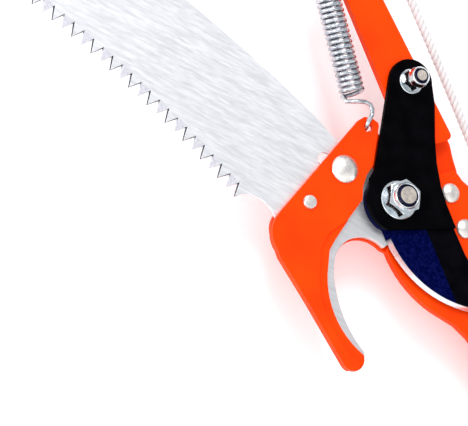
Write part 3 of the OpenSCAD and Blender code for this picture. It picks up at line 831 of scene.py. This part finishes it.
# ---- Lever plate ----
# A second plate, stamped and coated black, that bolts the blade to the arm.
lever_black = finish("lever_black", (0.0022, 0.0022, 0.003), (0.001, 0.001, 0.0015),
                     (0.2, 0.32), patches=150, fineness=700, specular=0.01, bump=0.1)
piece("lever_plate_coated", from_cad("lever_plate"), "cutter", "black_coat", lever_black,
      "lever_plate", rounding=0.35, rounds=3)

# ---- Arm ----
# A channel bent from orange-coated sheet, which turns the rope's pull into the cut.
piece("lever_arm_folded", from_cad("lever_arm"), "cutter", "orange_enamel", orange_enamel,
      "lever_arm", rounding=0.6, rounds=3)
bolt("arm_bolt", "cutter", 2.5, 8, 3.0, 0.8, 7)
washer("arm_washer", "cutter", 5.2, 2.6, 0.2)
lock_nut("arm_nut", "cutter", 8, 2.52, 5, 4)

# A split spring washer: a square ring cut through and sprung a little open.
base, tall = centre_base("arm_spring_washer")
split_in, split_out, split_rise, split_steps = 2.6, 4.6, 0.35, 44
bm = bmesh.new()
ring = [bm.verts.new(base + Vector((r, 0, z)) * MM)
        for r, z in ((split_in, 0), (split_out, 0), (split_out, tall - split_rise),
                     (split_in, tall - split_rise))]
section = bm.faces.new(ring)
bmesh.ops.spin(bm, geom=[section], cent=base, axis=(0, 0, 1), angle=math.radians(346),
               steps=split_steps, dvec=(0, 0, split_rise * MM / split_steps), use_duplicate=False)
bmesh.ops.holes_fill(bm, edges=bm.edges, sides=4)
bmesh.ops.recalc_face_normals(bm, faces=bm.faces)
bmesh.ops.rotate(bm, verts=bm.verts, cent=base, matrix=turned_about("Z", 150))
piece("arm_spring_washer_split", bm, "cutter", "zinc", zinc, "arm_spring_washer")

# ---- Return spring ----
# A coiled extension spring of bright 1.9 mm wire, hooked in the cover's ear and in the arm. It
# opens the cutter again when the rope is let go. The coil lies just above the cover's middle.
wire_r = 0.95
coil_r = 4.4
coil_pitch = 2.25
spring_a, spring_b = (-45.9, 0.6), (-99, 8.9)
cover_t, coil_lift = 2, 0.3
spring_z = (cover_top - pivot.z) / MM - cover_t / 2
coil_z = spring_z + coil_lift
coil_a, coil_b = on_head(*spring_a, coil_z), on_head(*spring_b, coil_z)
lower_hook = [(-30.6, -1.4, spring_z - 2.3), (-31.6, -0.2, spring_z - 1.4),
              (-32.2, 0.2, spring_z + 0.6), (-33, 0.4, spring_z + 2.2),
              (-34.4, 1.4, spring_z + 3.2), (-36, 3.5, spring_z + 3.3),
              (-38.2, 4.8, spring_z + 3.2), (-40.4, 4.7, spring_z + 3.2),
              (-42, 3, spring_z + 3.4), (-43, 0.6, spring_z + 3.6),
              (-44, -2, spring_z + 3), (-45, -3.8, spring_z + 1.2)]
upper_hook = [(-103, 9.6, spring_z - 2), (-107, 11.4, spring_z + 2),
              (-113, 14.4, spring_z + 3), (-118.4, 17.2, spring_z + 3),
              (-121, 18.4, spring_z + 2.4)]
coil_steps, wire_roundness = 20, 3


def spring_wire():
    """The wire's line: the hook in the ear, the coil, and the hook in the arm."""
    along = (coil_b - coil_a).normalized()
    over = Vector((0, 0, 1))
    side = along.cross(over)
    reach = (coil_b - coil_a).length - 2 * wire_r * MM
    turning = round((round(reach / MM / coil_pitch) + 0.25) * coil_steps)
    points = [on_head(*p) for p in lower_hook]
    for i in range(turning + 1):
        a = 2 * math.pi * i / coil_steps + math.pi
        points.append(coil_a + along * (wire_r * MM + reach * i / turning)
                      + (side * math.cos(a) + over * math.sin(a)) * coil_r * MM)
    return points + [on_head(*p) for p in upper_hook]


def drawn_wire(name, points, r, roundness):
    """A round wire along a line of points, as a mesh."""
    curve = bpy.data.curves.new(name, "CURVE")
    curve.dimensions = "3D"
    curve.bevel_depth = r
    curve.bevel_resolution = roundness
    curve.use_fill_caps = True
    line = curve.splines.new("POLY")
    line.points.add(len(points) - 1)
    for point, co in zip(line.points, points):
        point.co = (*co, 1)
    holder = bpy.data.objects.new(name, curve)
    bpy.context.collection.objects.link(holder)
    bpy.context.view_layer.update()
    mesh = bpy.data.meshes.new_from_object(holder.evaluated_get(
        bpy.context.evaluated_depsgraph_get()))
    bpy.data.objects.remove(holder)
    bm = bmesh.new()
    bm.from_mesh(mesh)
    return bm


wire_zinc = finish("wire_zinc", (0.68, 0.70, 0.74), (0.36, 0.39, 0.43), (0.14, 0.26),
                   patches=500, fineness=1500, metal=1.0, bump=0.1)
spring_mesh = bpy.data.meshes.new("return_spring_wound")
bm = drawn_wire("spring_wire", spring_wire(), wire_r * MM, wire_roundness)
bmesh.ops.remove_doubles(bm, verts=bm.verts, dist=seam_gap)
bmesh.ops.recalc_face_normals(bm, faces=bm.faces)
bm.to_mesh(spring_mesh)
bm.free()
spring_mesh.materials.append(wire_zinc)
for face in spring_mesh.polygons:
    face.use_smooth = True
spring = bpy.data.objects.new("return_spring_wound", spring_mesh)
bpy.context.collection.objects.link(spring)
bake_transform(spring)
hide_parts("return_spring", "spring_hook")

# ---- Pulley ----
# A grooved nylon wheel on a headed pin at the arm's end, and the stud behind the head that
# holds the rope's fixed end.
nylon_black = finish("nylon_black", (0.035, 0.035, 0.038), (0.018, 0.018, 0.02), (0.35, 0.5),
                     patches=200, fineness=1500, specular=0.4, bump=0.2)
pulley_base, tall = centre_base("rope_pulley")
half = tall / 2
piece("rope_pulley_moulded",
      turned(pulley_base, [(2.55, 0.2), (2.75, 0), (5, 0), (5.4, 0.9), (9.6, 0.9), (10.2, 0.2),
                           (14.1, 0), (14.5, 0.35), (14.3, 0.7), (11.2, 1.4),
                           (10.5, half - 1.1), (10.3, half), (10.5, half + 1.1),
                           (11.2, tall - 1.4), (14.3, tall - 0.7), (14.5, tall - 0.35),
                           (14.1, tall), (10.2, tall - 0.2), (9.6, tall - 0.9),
                           (5.4, tall - 0.9), (5, tall), (2.75, tall), (2.55, tall - 0.2)],
             closed=True, steps=72),
      "pulley", "black_plastic", nylon_black, "rope_pulley")
base, tall = centre_base("pulley_pin")
piece("pulley_pin_turned",
      turned(base, [(0, 0), (3.6, 0), (4, 0.3), (4, 0.9), (2.5, 1.0), (2.5, tall - 1.81),
                    (4.4, tall - 1.8), (4.4, tall - 1.5)] + cap_arc(4.3, tall - 1.3, tall)),
      "cutter", "rivet_steel", rivet_steel, "pulley_pin")
base, tall = centre_base("rope_anchor")
piece("rope_anchor_turned",
      turned(base, [(0, 0), (3.8, 0), (4.2, 0.3), (4.2, 0.8), (1.9, 1.0), (1.9, tall - 0.2),
                    (1.7, tall), (0, tall)]),
      "head", "rivet_steel", rivet_steel, "rope_anchor")

# ---- Socket ----
# A short orange-coated sleeve over the frame plates' tails and the inner tube, held by two
# button-head screws.
piece("socket_sleeve_coated", from_cad("socket_sleeve"), "head", "orange_enamel",
      orange_enamel, "socket_sleeve", rounding=0.4, rounds=3)
screws_low, screws_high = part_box("socket_screws")
screw_r = 3.6
screw_tall = (screws_high.z - screws_low.z) / MM
screws = []
for x in (screws_low.x + screw_r * MM, screws_high.x - screw_r * MM):
    base = Vector((x, (screws_low.y + screws_high.y) / 2, screws_low.z))
    head = cap_arc(screw_r - 0.1, screw_tall - 1.9, screw_tall, 10)
    screws.append(turned(base, [(0, 0), (1.8, 0), (1.8, screw_tall - 2.21),
                                (screw_r, screw_tall - 2.2), (screw_r, screw_tall - 2.0)]
                         + [p for p in head if p[0] > 1.3]
                         + [(1.25, screw_tall - 0.25), (1.2, screw_tall - 1.4),
                            (0, screw_tall - 1.5)], steps=48))
piece("socket_screws_set", joined(*screws), "head", "zinc", zinc, "socket_screws")

# ---- Pole ----
# Three drawn aluminium tubes that slide one in another, anodised silver, with plastic bushes
# on their hidden ends and a flip-lock collar on the front of each outer one.
anodised = finish("anodised", (0.80, 0.81, 0.83), (0.68, 0.69, 0.715), (0.28, 0.4),
                  patches=700, fineness=2500, stretch=(0.02, 1, 1), metal=0.95, bump=0.08)
for node, body in (("inner_tube", "head"), ("mid_tube", "middle"), ("outer_tube", "outer")):
    piece(node + "_drawn", from_cad(node), body, "alloy_tube", anodised, node, rounding=0.2)
for node in ("inner_bush", "mid_bush"):
    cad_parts[node].data.materials.clear()
    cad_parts[node].data.materials.append(nylon_black)
collar_black = finish("collar_black", (0.028, 0.028, 0.031), (0.016, 0.016, 0.018),
                      (0.5, 0.62), patches=300, fineness=2600, specular=0.4, bump=0.5,
                      depth=0.0001)
for tube, body in (("mid", "middle"), ("outer", "outer")):
    piece(tube + "_collar_moulded", from_cad(tube + "_collar"), body, "black_plastic",
          collar_black, tube + "_collar", rounding=0.5, rounds=3)
    piece(tube + "_lock_lever_moulded", from_cad(tube + "_lock_lever"), body + "_lock",
          "orange_plastic", orange_plastic, tube + "_lock_lever", rounding=0.7, rounds=3)
    piece(tube + "_lock_pin_turned", from_cad(tube + "_lock_pin"), body, "zinc", zinc,
          tube + "_lock_pin", rounding=0.2)

# ---- Grips and end cap ----
# Ribbed rubber sleeves pushed on the outer tube, and a moulded cap with a hanging hole.
rubber_black = finish("rubber_black", (0.026, 0.026, 0.028), (0.014, 0.014, 0.015),
                      (0.62, 0.78), patches=260, fineness=3200, specular=0.3, bump=0.6,
                      depth=0.00012)
rib_gap = 6.0


def grip(node):
    """A ribbed rubber sleeve with a bead at each end."""
    low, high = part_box(node)
    base = Vector((low.x, (low.y + high.y) / 2, (low.z + high.z) / 2))
    r = (high.z - low.z) / 2 / MM
    length = (high.x - low.x) / MM
    bore = (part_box("outer_tube")[1].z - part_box("outer_tube")[0].z) / 2 / MM
    profile = [(bore, 0), (r - 1.6, 0), (r - 0.9, 0.7), (r - 0.7, 2), (r - 0.9, 3.4),
               (r - 0.6, 4.2), (r - 0.1, 4.8), (r, 6)]
    ribs = int((length - 24) / rib_gap)
    first = (length - ribs * rib_gap) / 2
    for i in range(ribs):
        z = first + i * rib_gap
        profile += [(r, z), (r - 0.25, z + 0.35), (r - 0.95, z + 0.7), (r - 1.05, z + 1.2),
                    (r - 0.95, z + 1.7), (r - 0.25, z + 2.05), (r, z + 2.4)]
    profile += [(r, length - 6), (r - 0.1, length - 4.8), (r - 0.6, length - 4.2),
                (r - 0.9, length - 3.4), (r - 0.7, length - 2), (r - 0.9, length - 0.7),
                (r - 1.6, length), (bore, length)]
    piece(node + "_ribbed", turned(base, profile, "X", closed=True, steps=72), "outer",
          "grip_rubber", rubber_black, node)


grip("front_grip")
grip("rear_grip")
piece("end_cap_moulded", from_cad("end_cap"), "outer", "black_plastic", collar_black,
      "end_cap", rounding=0.9, rounds=4)
